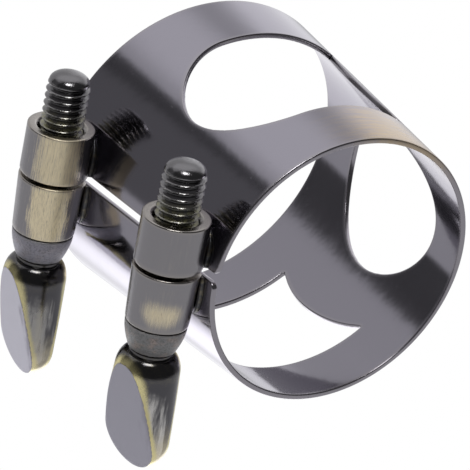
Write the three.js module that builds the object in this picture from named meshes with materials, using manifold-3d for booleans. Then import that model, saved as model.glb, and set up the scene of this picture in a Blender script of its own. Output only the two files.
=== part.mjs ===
// Saxophone ligature: a spring-sheet band that holds the reed on the mouthpiece, drawn shut
// by two thumb screws. Millimetres. +Y runs along the bore from the small front rim to the
// large rear rim, +Z points along the screws to their tips, and the seam faces -X. The
// origin is on the bore axis at half the band's length.

import * as THREE from "three";
import { mergeVertices } from "three/addons/utils/BufferGeometryUtils.js";
import Module from "manifold-3d";

const wasm = await Module();
wasm.setup();

// ---- Band ---------------------------------------------------------------------------
const BAND_LENGTH = 25; // along the bore
const FRONT_BORE = 26; // across the bore at the front rim, along X
const REAR_BORE = 29.6; // across the bore at the rear rim, along X
const BORE_SQUASH = 0.965; // height of the bore over its width: the sprung band is a little oval
const SHEET = 0.55; // thickness of the sheet
const SEAM_HEIGHT = 0.7; // middle of the seam above the bore axis
const SEAM_GAP = 0.85; // between the two lips of the seam
const FRONT_STRIP = 5.9; // width of the strip round the front rim
const REAR_STRIP = 6.2; // width of the strip round the rear rim
const LIP_DEPTH = 4.5; // how far a lip plate reaches in from the band's seam side, along X
const WINDOW_NOSE = 6.5; // length of a window's round end, along X
const RING_DEPTH = 7.05; // how far the ring round the eye reaches in from the far side, along X
const RING_ARC = 15.4; // radius of the ring's outer edge, seen along Z
const EYE_LENGTH = 15.2; // the eye is the oval window opposite the seam
const EYE_HEIGHT = 14.4;
const EYE_SHIFT = -0.55; // centre of the eye along Y

// ---- Posts --------------------------------------------------------------------------
const POST_RADIUS = 3.1;
const SEAT_WALL = 0.14; // least wall between a post's bore and its seat on the band
const FRONT_POST_INSET = 3.6; // from the front rim to the screw's axis
const REAR_POST_INSET = 3.55; // from the rear rim to the screw's axis
const UPPER_POST_LENGTH = 4.65;
const LOWER_POST_LENGTH = 5.4;
const LOWER_POST_FOOT = 2.85; // radius of a lower post at its bottom
const POST_GAP = 0.35; // between the upper and the lower post
const POST_EDGE = 0.15; // chamfer on a post's edges
const COUNTERSINK = 0.3; // round the screw on the upper post's top

// ---- Brazed joints ------------------------------------------------------------------
const JOINT_CLEARANCE = 0.03; // between the braze and each piece it joins
const BRAZE_FILM = 0.1; // thickness under the post
const BRAZE_FILLET = 0.65; // height and width of the bead beside the post

// ---- Screws -------------------------------------------------------------------------
const THREAD_RADIUS = 2; // M4
const THREAD_PITCH = 0.7;
const THREAD_DEPTH = 0.38;
const SHANK_RADIUS = 1.5; // plain stretch through the collar
const RUNNING_CLEARANCE = 0.05; // radial, between a screw and what it runs in
const TIP_HEIGHT = 5.3; // from the upper post's top to the tip of the screw
const DOME_HEIGHT = 0.95;
const SHANK_TOP_INSET = 0.6; // the thread ends this far above the lower post's bottom

// ---- Collars ------------------------------------------------------------------------
const COLLAR_TOP_RADIUS = 2.8;
const COLLAR_FOOT_RADIUS = 2.15;
const COLLAR_HEIGHT = 2.5;
const COLLAR_CLEARANCE = 0.1; // above and below the collar

// ---- Thumb heads --------------------------------------------------------------------
const HEAD_LENGTH = 11.85;
const NECK_RADIUS = 2;
const NECK_LENGTH = 0.35;
const SHOULDER_RADIUS = 2.95;
const SHOULDER_DROP = 1.8; // from the neck's foot to the shoulder
const PAD_RADIUS = 3.3; // half the width of the head near its foot
const FOOT_ROUND = 3; // height of the round end
const FLAT_TOP = 2.6; // from the screw's axis to the outer flat at the shoulder
const FLAT_FOOT = -0.1; // the outer flat crosses the axis just above the foot
const BACK_TOP = 2.2; // from the screw's axis to the back flat at the shoulder
const BACK_FOOT = 1.4; // and at the foot
const SOCKET_DEPTH = 3; // the shank sits this deep in the head
const FRONT_HEAD_TURN = 9; // degrees, from the flats facing straight out along X
const REAR_HEAD_TURN = -4;

// ---- Fineness -----------------------------------------------------------------------
const BAND_SIDES = 144;
const POST_SIDES = 40;
const THREAD_SIDES = 20;
const CURVE_STEPS = 8;
const OVERSHOOT = 2; // how far a cutter runs past what it cuts

// ---- Sizes that follow --------------------------------------------------------------
const frontRimY = -BAND_LENGTH / 2;
const rearRimY = BAND_LENGTH / 2;
const boreSlope = (REAR_BORE - FRONT_BORE) / 2 / BAND_LENGTH;
const boreRadiusAt = (y) => FRONT_BORE / 2 + boreSlope * (y - frontRimY);
const outerRadiusAt = (y) => boreRadiusAt(y) + SHEET;
const upperPostFoot = SEAM_HEIGHT + POST_GAP / 2;
const upperPostTop = upperPostFoot + UPPER_POST_LENGTH;
const lowerPostTop = SEAM_HEIGHT - POST_GAP / 2;
const lowerPostFoot = lowerPostTop - LOWER_POST_LENGTH;
const collarTop = lowerPostFoot - COLLAR_CLEARANCE;
const collarFoot = collarTop - COLLAR_HEIGHT;
const headTop = collarFoot - COLLAR_CLEARANCE;
const headFoot = headTop - HEAD_LENGTH;
const screwTip = upperPostTop + TIP_HEIGHT;
const threadBore = THREAD_RADIUS + RUNNING_CLEARANCE;
const shankBore = SHANK_RADIUS + RUNNING_CLEARANCE;
const postSeat = SHEET + BRAZE_FILM + 2 * JOINT_CLEARANCE; // above the bore's surface

// ---- Finishes -----------------------------------------------------------------------
const BLACK_NICKEL = { color: 0x4a4850, roughness: 0.14, metalness: 1 };
const ANTIQUE_BRASS = { color: 0x8d8262, roughness: 0.3, metalness: 1 };
const BLASTED_NICKEL = { color: 0x77747a, roughness: 0.5, metalness: 1 };
const BRAZE = { color: 0x5d594f, roughness: 0.45, metalness: 1 };

// ---- From geometry to solid and back ------------------------------------------------
function solidOf(geometry) {
  const bare = geometry.clone();
  bare.deleteAttribute("normal");
  bare.deleteAttribute("uv");
  const merged = mergeVertices(bare, 1e-4);
  return new wasm.Manifold(
    new wasm.Mesh({
      numProp: 3,
      vertProperties: merged.attributes.position.array,
      triVerts: new Uint32Array(merged.index.array),
    }),
  );
}

function meshOf(name, solid, finish) {
  const made = solid.getMesh();
  const indexed = new THREE.BufferGeometry();
  indexed.setAttribute("position", new THREE.BufferAttribute(made.vertProperties, 3));
  indexed.setIndex(new THREE.BufferAttribute(made.triVerts, 1));
  const faceted = indexed.toNonIndexed();
  faceted.computeVertexNormals();
  const mesh = new THREE.Mesh(faceted, new THREE.MeshStandardMaterial(finish));
  mesh.name = name;
  return mesh;
}

// A closed profile of [radius, height] points, turned round the Z axis.
function turnedAboutZ(profile, sides) {
  const points = profile.map(([radius, height]) => new THREE.Vector2(radius, height));
  return solidOf(new THREE.LatheGeometry(points, sides).rotateX(Math.PI / 2));
}

// The region between two offsets from the bore's surface, past both rims by the overshoot.
function boreShell(inner, outer, overshoot) {
  const from = frontRimY - overshoot;
  const to = rearRimY + overshoot;
  const profile = [
    [boreRadiusAt(from) + inner, from],
    [boreRadiusAt(from) + outer, from],
    [boreRadiusAt(to) + outer, to],
    [boreRadiusAt(to) + inner, to],
    [boreRadiusAt(from) + inner, from],
  ];
  const points = profile.map(([radius, y]) => new THREE.Vector2(radius, y));
  const turned = new THREE.LatheGeometry(points, BAND_SIDES);
  return solidOf(turned.scale(1, 1, BORE_SQUASH));
}

// A flat outline pushed out from zero along the third axis.
function extruded(shape, depth) {
  return new THREE.ExtrudeGeometry(shape, { depth, bevelEnabled: false, curveSegments: 24 });
}

// ---- Band ---------------------------------------------------------------------------
// The outline of the two side windows, seen along Z: a round nose towards the seam, the
// two strips' straight edges, and the ring's arc, which meets the strips in sharp cusps.
function windowOutline() {
  const frontEdge = frontRimY + FRONT_STRIP;
  const rearEdge = rearRimY - REAR_STRIP;
  const middle = (frontEdge + rearEdge) / 2;
  const half = (rearEdge - frontEdge) / 2;
  const noseX = -outerRadiusAt(middle) + LIP_DEPTH + WINDOW_NOSE;
  const ringX = outerRadiusAt(middle) - RING_DEPTH + RING_ARC;
  const reach = Math.asin(half / RING_ARC);
  const outline = new THREE.Shape();
  outline.absellipse(noseX, middle, WINDOW_NOSE, half, Math.PI / 2, (3 * Math.PI) / 2, false);
  outline.absarc(ringX, middle, RING_ARC, Math.PI + reach, Math.PI - reach, true);
  outline.closePath();
  return outline;
}

function eyeOutline() {
  const outline = new THREE.Shape();
  outline.absellipse(0, EYE_SHIFT, EYE_HEIGHT / 2, EYE_LENGTH / 2, 0, 2 * Math.PI, false);
  return outline;
}

function bandSolid() {
  const reach = REAR_BORE + FRONT_BORE;
  const upper = solidOf(extruded(windowOutline(), reach));
  const lower = solidOf(extruded(windowOutline(), reach).translate(0, 0, -reach));
  const eye = solidOf(extruded(eyeOutline(), reach).rotateY(Math.PI / 2));
  const seamBox = new THREE.BoxGeometry(reach, BAND_LENGTH + 2 * OVERSHOOT, SEAM_GAP);
  const seam = solidOf(seamBox.translate(-reach / 2, 0, SEAM_HEIGHT));
  return boreShell(0, SHEET, 0).subtract(upper).subtract(lower).subtract(eye).subtract(seam);
}

// ---- Posts --------------------------------------------------------------------------
// Everything inside the posts' seat: what a post may not enter.
function seatSolid() {
  const from = frontRimY - OVERSHOOT - POST_RADIUS;
  const to = rearRimY + OVERSHOOT + POST_RADIUS;
  const points = [
    new THREE.Vector2(0, from),
    new THREE.Vector2(boreRadiusAt(from) + postSeat, from),
    new THREE.Vector2(boreRadiusAt(to) + postSeat, to),
    new THREE.Vector2(0, to),
  ];
  return solidOf(new THREE.LatheGeometry(points, BAND_SIDES).scale(1, 1, BORE_SQUASH));
}

function upperPostSolid() {
  return turnedAboutZ(
    [
      [threadBore, upperPostFoot],
      [POST_RADIUS - POST_EDGE, upperPostFoot],
      [POST_RADIUS, upperPostFoot + POST_EDGE],
      [POST_RADIUS, upperPostTop - POST_EDGE],
      [POST_RADIUS - POST_EDGE, upperPostTop],
      [threadBore + COUNTERSINK, upperPostTop],
      [threadBore, upperPostTop - COUNTERSINK],
      [threadBore, upperPostFoot],
    ],
    POST_SIDES,
  );
}

function lowerPostSolid() {
  return turnedAboutZ(
    [
      [threadBore, lowerPostFoot],
      [LOWER_POST_FOOT - POST_EDGE, lowerPostFoot],
      [LOWER_POST_FOOT, lowerPostFoot + POST_EDGE],
      [POST_RADIUS, lowerPostTop - 2 * POST_EDGE],
      [POST_RADIUS - POST_EDGE, lowerPostTop],
      [threadBore, lowerPostTop],
      [threadBore, lowerPostFoot],
    ],
    POST_SIDES,
  );
}

// The braze is a film under the post and a bead along both sides of it, on one lip only.
function brazeSolid(x, y, from, to) {
  const height = to - from;
  const place = (geometry) => geometry.rotateX(Math.PI / 2).translate(x, y, from + height / 2);
  const beadRadius = POST_RADIUS + BRAZE_FILLET;
  const around = new THREE.CylinderGeometry(beadRadius, beadRadius, height, POST_SIDES);
  const clearRadius = POST_RADIUS + JOINT_CLEARANCE;
  const clearHeight = height + 2 * OVERSHOOT;
  const post = new THREE.CylinderGeometry(clearRadius, clearRadius, clearHeight, POST_SIDES);
  const start = SHEET + JOINT_CLEARANCE;
  const film = boreShell(start, start + BRAZE_FILM, 0);
  const bead = boreShell(start, start + BRAZE_FILLET, 0).subtract(solidOf(place(post)));
  return film.add(bead).intersect(solidOf(place(around)));
}

// ---- Screw parts --------------------------------------------------------------------
function rodSolid() {
  const bottom = headTop - SOCKET_DEPTH + COLLAR_CLEARANCE;
  const threadStart = lowerPostFoot + SHANK_TOP_INSET;
  const threadEnd = screwTip - DOME_HEIGHT;
  const rootRadius = THREAD_RADIUS - THREAD_DEPTH;
  const profile = [
    [0, bottom],
    [SHANK_RADIUS, bottom],
    [SHANK_RADIUS, threadStart],
  ];
  // Rings of the thread's own pitch stand in for the helix.
  for (let z = threadStart; z + THREAD_PITCH < threadEnd; z += THREAD_PITCH) {
    profile.push([rootRadius, z + THREAD_PITCH * 0.1]);
    profile.push([THREAD_RADIUS, z + THREAD_PITCH * 0.45]);
    profile.push([THREAD_RADIUS, z + THREAD_PITCH * 0.65]);
  }
  for (let step = 0; step <= CURVE_STEPS / 2; step += 1) {
    const angle = (step / (CURVE_STEPS / 2)) * (Math.PI / 2);
    const radius = (THREAD_RADIUS - THREAD_DEPTH / 3) * Math.cos(angle);
    const last = step === CURVE_STEPS / 2;
    profile.push([last ? 0 : radius, threadEnd + DOME_HEIGHT * Math.sin(angle)]);
  }
  return turnedAboutZ(profile, THREAD_SIDES);
}

function collarSolid() {
  const profile = [[shankBore, collarFoot]];
  // The side bulges: a quarter sine from the foot's radius to the top's.
  for (let step = 0; step <= CURVE_STEPS; step += 1) {
    const rise = step / CURVE_STEPS;
    const swell = Math.sin((rise * Math.PI) / 2);
    const radius = COLLAR_FOOT_RADIUS + (COLLAR_TOP_RADIUS - COLLAR_FOOT_RADIUS) * swell;
    profile.push([radius, collarFoot + COLLAR_HEIGHT * rise]);
  }
  profile.push([shankBore, collarTop], [shankBore, collarFoot]);
  return turnedAboutZ(profile, POST_SIDES);
}

// The head is a turned body with two opposite flats that close in towards its foot, the
// outer one more steeply.
function headSolid() {
  const neckFoot = headTop - NECK_LENGTH;
  const shoulder = neckFoot - SHOULDER_DROP;
  const roundStart = headFoot + FOOT_ROUND;
  const socketFoot = headTop - SOCKET_DEPTH;
  const profile = [[0, headFoot]];
  for (let step = 1; step <= CURVE_STEPS; step += 1) {
    const angle = (step / CURVE_STEPS) * (Math.PI / 2);
    profile.push([PAD_RADIUS * Math.sin(angle), roundStart - FOOT_ROUND * Math.cos(angle)]);
  }
  profile.push([SHOULDER_RADIUS, shoulder]);
  for (let step = 1; step <= CURVE_STEPS / 2; step += 1) {
    const angle = (step / (CURVE_STEPS / 2)) * (Math.PI / 2);
    const radius = NECK_RADIUS + (SHOULDER_RADIUS - NECK_RADIUS) * Math.cos(angle);
    profile.push([radius, shoulder + SHOULDER_DROP * Math.sin(angle)]);
  }
  profile.push([NECK_RADIUS, headTop], [shankBore, headTop], [shankBore, socketFoot]);
  profile.push([0, socketFoot]);
  return turnedAboutZ(profile, POST_SIDES).intersect(gripSolid(shoulder));
}

// A long wedge between the two flats, wide along Y.
function gripSolid(shoulder) {
  const outline = new THREE.Shape();
  const rise = shoulder - headFoot;
  const flatAt = (z) => FLAT_FOOT + ((FLAT_TOP - FLAT_FOOT) / rise) * (z - headFoot);
  const backAt = (z) => BACK_FOOT + ((BACK_TOP - BACK_FOOT) / rise) * (z - headFoot);
  const low = headFoot - OVERSHOOT;
  const high = headTop + OVERSHOOT;
  outline.moveTo(-flatAt(low), low);
  outline.lineTo(backAt(low), low);
  outline.lineTo(backAt(high), high);
  outline.lineTo(-flatAt(high), high);
  outline.closePath();
  const depth = 4 * PAD_RADIUS;
  return solidOf(extruded(outline, depth).translate(0, 0, -depth / 2).rotateX(Math.PI / 2));
}

// ---- Assembly -----------------------------------------------------------------------
const ligature = new THREE.Group();
ligature.add(meshOf("band", bandSolid(), BLACK_NICKEL));

const stations = [
  { end: "front", y: frontRimY + FRONT_POST_INSET, headTurn: FRONT_HEAD_TURN },
  { end: "rear", y: rearRimY - REAR_POST_INSET, headTurn: REAR_HEAD_TURN },
];

const seat = seatSolid();
const upperLip = SEAM_HEIGHT + SEAM_GAP / 2;
const lowerLip = SEAM_HEIGHT - SEAM_GAP / 2;

for (const { end, y, headTurn } of stations) {
  const x = -(boreRadiusAt(y) + postSeat + SEAT_WALL + threadBore);
  const upperPost = upperPostSolid().translate([x, y, 0]).subtract(seat);
  const lowerPost = lowerPostSolid().translate([x, y, 0]).subtract(seat);
  const upperBraze = brazeSolid(x, y, upperLip, upperPostTop);
  const lowerBraze = brazeSolid(x, y, lowerPostFoot, lowerLip);
  ligature.add(meshOf(`${end}_upper_post`, upperPost, ANTIQUE_BRASS));
  ligature.add(meshOf(`${end}_lower_post`, lowerPost, ANTIQUE_BRASS));
  ligature.add(meshOf(`${end}_upper_braze`, upperBraze, BRAZE));
  ligature.add(meshOf(`${end}_lower_braze`, lowerBraze, BRAZE));

  const screw = new THREE.Group();
  screw.position.set(x, y, 0);
  screw.add(meshOf(`${end}_collar`, collarSolid(), BLASTED_NICKEL));
  screw.add(meshOf(`${end}_screw_rod`, rodSolid(), BLACK_NICKEL));
  const head = meshOf(`${end}_thumb_head`, headSolid(), ANTIQUE_BRASS);
  head.rotation.z = THREE.MathUtils.degToRad(headTurn);
  screw.add(head);
  ligature.add(screw);
}

export default ligature;
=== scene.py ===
"""Looks of the saxophone ligature.

A black-nickel spring band holds the reed on the mouthpiece, and two thumb screws draw it
shut. Each end of the seam has an upper post, a lower post, a collar, a threaded rod and a
thumb head. Shapes are worked out in millimetres and turned into metres as they are finished.
"""

import logging
import math
from dataclasses import dataclass
from enum import Enum
from functools import cache
from typing import Any, Callable, Iterable, Sequence

import bmesh
import bpy
from mathutils import Matrix, Vector
from mathutils.kdtree import KDTree


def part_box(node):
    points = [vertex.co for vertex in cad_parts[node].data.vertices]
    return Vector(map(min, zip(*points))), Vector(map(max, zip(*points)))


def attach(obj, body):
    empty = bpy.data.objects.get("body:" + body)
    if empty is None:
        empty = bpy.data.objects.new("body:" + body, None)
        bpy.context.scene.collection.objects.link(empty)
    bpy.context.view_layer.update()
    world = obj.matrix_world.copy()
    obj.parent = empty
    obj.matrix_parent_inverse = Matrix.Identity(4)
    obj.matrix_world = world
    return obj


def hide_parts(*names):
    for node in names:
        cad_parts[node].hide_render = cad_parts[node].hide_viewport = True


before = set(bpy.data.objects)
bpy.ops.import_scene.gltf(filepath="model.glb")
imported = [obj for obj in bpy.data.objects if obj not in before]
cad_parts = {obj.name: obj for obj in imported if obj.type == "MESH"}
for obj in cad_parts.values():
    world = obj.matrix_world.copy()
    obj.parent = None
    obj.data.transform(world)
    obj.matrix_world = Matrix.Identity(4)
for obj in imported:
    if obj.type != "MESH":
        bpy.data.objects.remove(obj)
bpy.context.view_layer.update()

logging.basicConfig(level=logging.INFO, format="%(message)s")
LOG = logging.getLogger("ligature")

MM = 0.001
TURN = 2 * math.pi
QUARTER = math.pi / 2
OPEN = math.inf
DOUBLES = 1e-4  # points nearer than this, in millimetres, are one
UV_SPAN = 100.0  # millimetres of sheet to one unit of its UV map

Colour = tuple[float, float, float, float]
Point = tuple[float, float]
Shape = bmesh.types.BMesh


class Pattern(Enum):
    """What a pattern's coordinates follow, as an output of the Texture Coordinate node."""

    DIRECTION = 0
    SURFACE = 2
    SPACE = 3


class End(Enum):
    """The two ends of the seam."""

    FRONT = "front"
    REAR = "rear"


class Slot(Enum):
    """The record's material slots."""

    BAND = "black_nickel"
    POST = "antique_brass"
    BRAZE = "braze"
    COLLAR = "blasted_nickel"
    SCREW = "black_nickel_screw"
    HEAD = "worn_nickel"


# ---- Shader bench ---------------------------------------------------------------------
class Wire:
    """A socket of a material. Sums and products on it add the Math nodes they need."""

    def __init__(self, bench: "Bench", socket: bpy.types.NodeSocket) -> None:
        """Keep the socket and the bench it belongs to.

        Args:
            bench: The bench that adds nodes.
            socket: The output socket that this wire starts from.
        """
        self.bench = bench
        self.socket = socket

    def _math(self, operation: str, first: Any, second: Any = 0.0) -> "Wire":
        """Add one Math node.

        Args:
            operation: The Math node's operation.
            first: A wire or a number.
            second: A wire or a number.

        Returns:
            The node's result.
        """
        return self.bench.node("ShaderNodeMath", {"operation": operation}, {0: first, 1: second})

    def __add__(self, other: Any) -> "Wire":
        """Add."""
        return self._math("ADD", self, other)

    def __radd__(self, other: Any) -> "Wire":
        """Add, with this wire on the right."""
        return self._math("ADD", other, self)

    def __sub__(self, other: Any) -> "Wire":
        """Subtract."""
        return self._math("SUBTRACT", self, other)

    def __rsub__(self, other: Any) -> "Wire":
        """Subtract this wire from the other."""
        return self._math("SUBTRACT", other, self)

    def __mul__(self, other: Any) -> "Wire":
        """Multiply."""
        return self._math("MULTIPLY", self, other)

    def __rmul__(self, other: Any) -> "Wire":
        """Multiply, with this wire on the right."""
        return self._math("MULTIPLY", other, self)

    def __truediv__(self, other: Any) -> "Wire":
        """Divide."""
        return self._math("DIVIDE", self, other)

    def step(self, low: float, high: float) -> "Wire":
        """Fade smoothly from 0 at the low value to 1 at the high one.

        Args:
            low: Where the result is 0.
            high: Where the result is 1. It may be under the low value.

        Returns:
            The faded value.
        """
        return self.bench.node(
            "ShaderNodeMapRange",
            {"interpolation_type": "SMOOTHSTEP"},
            {0: self, 1: low, 2: high, 3: 0.0, 4: 1.0},
        )


class Bench:
    """A node tree being wired."""

    def __init__(self, tree: bpy.types.NodeTree) -> None:
        """Empty the tree and start with no nodes.

        Args:
            tree: The tree of a material or of the room.
        """
        self.tree = tree
        tree.nodes.clear()

    def node(
        self, kind: str, settings: dict[str, Any], sockets: dict[Any, Any], output: int = 0
    ) -> Wire:
        """Add a node.

        Args:
            kind: The node's type.
            settings: Its settings, set before its sockets.
            sockets: What goes in each input, as a wire or a plain value.
            output: Which output the wire starts from.

        Returns:
            A wire from that output.
        """
        made = self.tree.nodes.new(kind)
        for key, value in settings.items():
            setattr(made, key, value)
        for key, value in sockets.items():
            if isinstance(value, Wire):
                self.tree.links.new(value.socket, made.inputs[key])
            else:
                made.inputs[key].default_value = value
        return Wire(self, made.outputs[output] if made.outputs else None)

    def coordinates(
        self,
        scale: Sequence[float],
        centre: Sequence[float] = (0, 0, 0),
        pattern: Pattern = Pattern.SPACE,
    ) -> Wire:
        """Give pattern coordinates.

        Args:
            scale: Repeats per millimetre along each axis.
            centre: The pattern's origin, in millimetres.
            pattern: Whether they follow space or the piece's own UV map.

        Returns:
            The coordinates.
        """
        source = self.node("ShaderNodeTexCoord", {}, {}, pattern.value)
        unit = UV_SPAN if pattern is Pattern.SURFACE else 1 / MM
        factor = tuple(value * unit for value in scale)
        shift = tuple(-value * size for value, size in zip(centre, scale))
        return self.node(
            "ShaderNodeMapping", {}, {"Vector": source, "Location": shift, "Scale": factor}
        )

    def noise(self, coordinates: Wire, detail: float = 3, roughness: float = 0.55) -> Wire:
        """Give cloudy noise from 0 to 1, most of it near 0.5.

        Args:
            coordinates: Where the pattern is read.
            detail: How many finer layers are added.
            roughness: How strong the finer layers are.

        Returns:
            The noise.
        """
        return self.node(
            "ShaderNodeTexNoise",
            {},
            {"Vector": coordinates, "Scale": 1.0, "Detail": detail, "Roughness": roughness},
        )

    def blend(self, factor: Any, first: Any, second: Any) -> Wire:
        """Mix two colours by a factor."""
        colours = {0: factor, 6: first, 7: second}
        return self.node("ShaderNodeMix", {"data_type": "RGBA"}, colours, 2)

    def towards(self, facing: Point, centre: Point) -> Wire:
        """Say how far a point stands from an upright axis in one direction, in millimetres.

        Args:
            facing: The direction, level and of length 1.
            centre: Where the axis stands.

        Returns:
            The distance, under 0 behind the axis.
        """
        place = self.coordinates((1, 1, 1), (*centre, 0))
        sockets = {0: place, 1: (*facing, 0)}
        return self.node("ShaderNodeVectorMath", {"operation": "DOT_PRODUCT"}, sockets, 1)

    def height(self) -> Wire:
        """Give a point's height in millimetres."""
        return self.node("ShaderNodeSeparateXYZ", {}, {0: self.coordinates((1, 1, 1))}, 2)

    def bump(self, height: Wire, depth: float, under: Wire | None = None) -> Wire:
        """Raise a surface by a height of 0 to 1.

        Args:
            height: The height pattern.
            depth: What a height of 1 stands for, in millimetres.
            under: Another bump to lay this one over.

        Returns:
            The bent normal.
        """
        sockets = {"Strength": 1.0, "Distance": depth * MM, "Height": height}
        if under:
            sockets["Normal"] = under
        return self.node("ShaderNodeBump", {}, sockets)

    def attribute(self, name: str) -> Wire:
        """Read a number that the mesh carries."""
        return self.node("ShaderNodeAttribute", {"attribute_name": name}, {}, 2)

    def metal(self, colour: Wire, roughness: Wire, normal: Wire) -> None:
        """End the tree in a metal surface.

        Args:
            colour: What it reflects straight on.
            roughness: From 0 for a mirror to 1.
            normal: The bent normal.
        """
        sockets = {"Base Color": colour, "Roughness": roughness, "Normal": normal}
        shader = self.node("ShaderNodeBsdfPrincipled", {}, {"Metallic": 1.0, **sockets})
        self.node("ShaderNodeOutputMaterial", {}, {"Surface": shader})


def new_bench(name: str) -> tuple[bpy.types.Material, Bench]:
    """Make an empty material.

    Args:
        name: Its name.

    Returns:
        The material, and a bench on its tree.
    """
    material = bpy.data.materials.new(name)
    material.use_nodes = True
    return material, Bench(material.node_tree)


def grey(value: float, warmth: float = 0.0) -> Colour:
    """Give a grey, warmer above 0 and cooler below."""
    return (value * (1 + warmth), value, value * (1 - warmth), 1.0)


# ---- Finishes -------------------------------------------------------------------------
# Patterns repeat so many times a millimetre; bumps are depths in millimetres.
FRONT_SIDE = (-0.49, -0.871)  # the side of the posts and heads that faces the camera: hands and cases rub the posts to brass there, and the heads carry their painted reflection there


@dataclass(frozen=True)
class BandFinish:
    """Black nickel on the sprung sheet: near-mirror, brushed to brass on the front strip."""

    plate: Colour = (0.33, 0.315, 0.355, 1.0)
    edge: Colour = (0.52, 0.49, 0.47, 1.0)
    brass: Colour = (0.52, 0.41, 0.27, 1.0)
    polish: float = 0.095  # roughness where nothing has touched it
    brushed: float = 0.3  # what the brushing adds to it

    def material(self) -> bpy.types.Material:
        """Wire the finish.

        Returns:
            The material.
        """
        material, bench = new_bench("black_nickel_sheet")
        edge = bench.attribute("edge")
        rub = bench.attribute("rub")
        streaks = bench.noise(bench.coordinates((0.22, 9, 9), pattern=Pattern.SURFACE), 5, 0.75)
        clouds = bench.noise(bench.coordinates((0.12, 0.12, 0.12)), 4)
        specks = bench.noise(bench.coordinates((3, 3, 3)), 2, 0.7).step(0.68, 0.78)
        worn = (rub * (streaks * 3.2 - 0.9)).step(0.05, 0.8)
        colour = bench.blend(worn, self.plate, self.brass)
        colour = bench.blend((1 - edge) * 0.22, colour, self.edge)
        colour = bench.blend(specks * 0.15, colour, grey(0.16))
        roughness = self.polish + clouds * 0.03 + (1 - edge) * 0.1
        roughness = roughness + rub * streaks * self.brushed
        ripple = bench.bump(clouds, 0.035)
        brushing = bench.bump(streaks * rub, 0.012, ripple)
        normal = bench.bump(specks, -0.002, brushing)
        bench.metal(colour, roughness, normal)
        return material


@dataclass(frozen=True)
class PostFinish:
    """Antique brass: black plate brushed through to brass on the side that faces out, with a
    painted highlight in brass across the lower post.
    """

    name: str
    axis: Point
    wear: float
    # The next three fields paint a highlight: a band of brass colour across the post's outer side,
    # at a height in millimetres, of a strength from 0 to 1 and of a half-width in millimetres.
    highlight_height: float = 0.0
    patch: float = 0.0
    highlight_reach: float = 1.9
    plate: Colour = (0.30, 0.29, 0.30, 1.0)
    brass: Colour = (0.98, 0.86, 0.60, 1.0)
    stain: Colour = (0.30, 0.25, 0.19, 1.0)
    rim: Colour = (0.55, 0.50, 0.42, 1.0)

    def material(self) -> bpy.types.Material:
        """Wire the finish.

        Returns:
            The material.
        """
        material, bench = new_bench(self.name)
        centre = (*self.axis, 0)
        ahead = bench.towards(FRONT_SIDE, self.axis)
        streaks = bench.noise(bench.coordinates((7, 7, 0.35), centre), 4, 0.65)
        fine = bench.noise(bench.coordinates((26, 26, 0.8), centre), 3, 0.6)
        clouds = bench.noise(bench.coordinates((0.5, 0.5, 0.35), centre), 3)
        edge = bench.attribute("edge")
        height = bench.height()
        # painted highlight: a band of height across the post, added to the brass wear on its outer
        # side
        band = height.step(self.highlight_height - self.highlight_reach, self.highlight_height)
        band = band * height.step(self.highlight_height + self.highlight_reach, self.highlight_height)
        grain = (streaks - 0.5) * 2.2 + (clouds - 0.5) * 1.2
        outer = ahead.step(1.9, 3.05)
        amount = outer * self.wear * 1.15 + outer * band * self.patch
        worn = (amount + grain * (0.2 + self.wear * 0.8) - 0.12).step(0.0, 0.95)
        worn = worn * ahead.step(0.2, 2.2)
        colour = bench.blend(worn, self.plate, self.brass)
        colour = bench.blend(fine.step(0.46, 0.7) * worn * 0.55, colour, self.stain)
        colour = bench.blend((1 - edge) * 0.45, colour, self.rim)
        roughness = 0.12 + fine * 0.12 + worn * 0.2
        normal = bench.bump(fine, 0.006, bench.bump(streaks, 0.012))
        bench.metal(colour, roughness, normal)
        return material


@dataclass(frozen=True)
class CollarFinish:
    """Nickel left dull by blasting, with a worn rim."""

    name: str
    tone: Colour
    warm: float
    brown: Colour = (0.46, 0.38, 0.34, 1.0)

    def material(self) -> bpy.types.Material:
        """Wire the finish.

        Returns:
            The material.
        """
        material, bench = new_bench(self.name)
        grain = bench.noise(bench.coordinates((5, 5, 7)), 5, 0.8)
        clouds = bench.noise(bench.coordinates((1.1, 1.1, 1.8)), 4)
        edge = bench.attribute("edge")
        stain = clouds.step(0.45, 0.7) * self.warm
        colour = bench.blend(stain, self.tone, self.brown)
        colour = bench.blend(grain.step(0.45, 0.62) * 0.6, colour, grey(0.14))
        colour = bench.blend((1 - edge) * 0.5, colour, grey(0.5))
        roughness = 0.3 + grain * 0.25
        normal = bench.bump(grain, 0.06)
        bench.metal(colour, roughness, normal)
        return material


@dataclass(frozen=True)
class RodFinish:
    """Dark plate on the thread, with brass showing low down where the post rubs it, a painted
    highlight on the crests and painted shade in the roots.
    """

    name: str
    rub_top: float
    plate: Colour = (0.21, 0.205, 0.21, 1.0)
    brass: Colour = (0.42, 0.41, 0.25, 1.0)

    def material(self) -> bpy.types.Material:
        """Wire the finish.

        Returns:
            The material.
        """
        material, bench = new_bench(self.name)
        height = bench.height()
        clouds = bench.noise(bench.coordinates((1.6, 1.6, 2.4)), 4, 0.65)
        grain = bench.noise(bench.coordinates((12, 12, 12)), 3)
        crest = bench.attribute("crest")
        # here the mask is only wear: brass where the post rubs the thread low down
        rub_and_reflection = height.step(self.rub_top, self.rub_top - 2.2) * clouds.step(0.35, 0.62)
        colour = bench.blend(rub_and_reflection * 0.8, self.plate, self.brass)
        # painted highlight on the thread's crests, then painted shade in its roots
        colour = bench.blend(crest.step(0.7, 1.0) * 0.5, colour, grey(0.42, 0.03))
        colour = bench.blend(crest.step(0.35, 0.0) * 0.7, colour, grey(0.05))
        roughness = 0.12 + clouds * 0.1 + rub_and_reflection * 0.2
        normal = bench.bump(grain, 0.008, bench.bump(clouds, 0.02))
        bench.metal(colour, roughness, normal)
        return material


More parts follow.
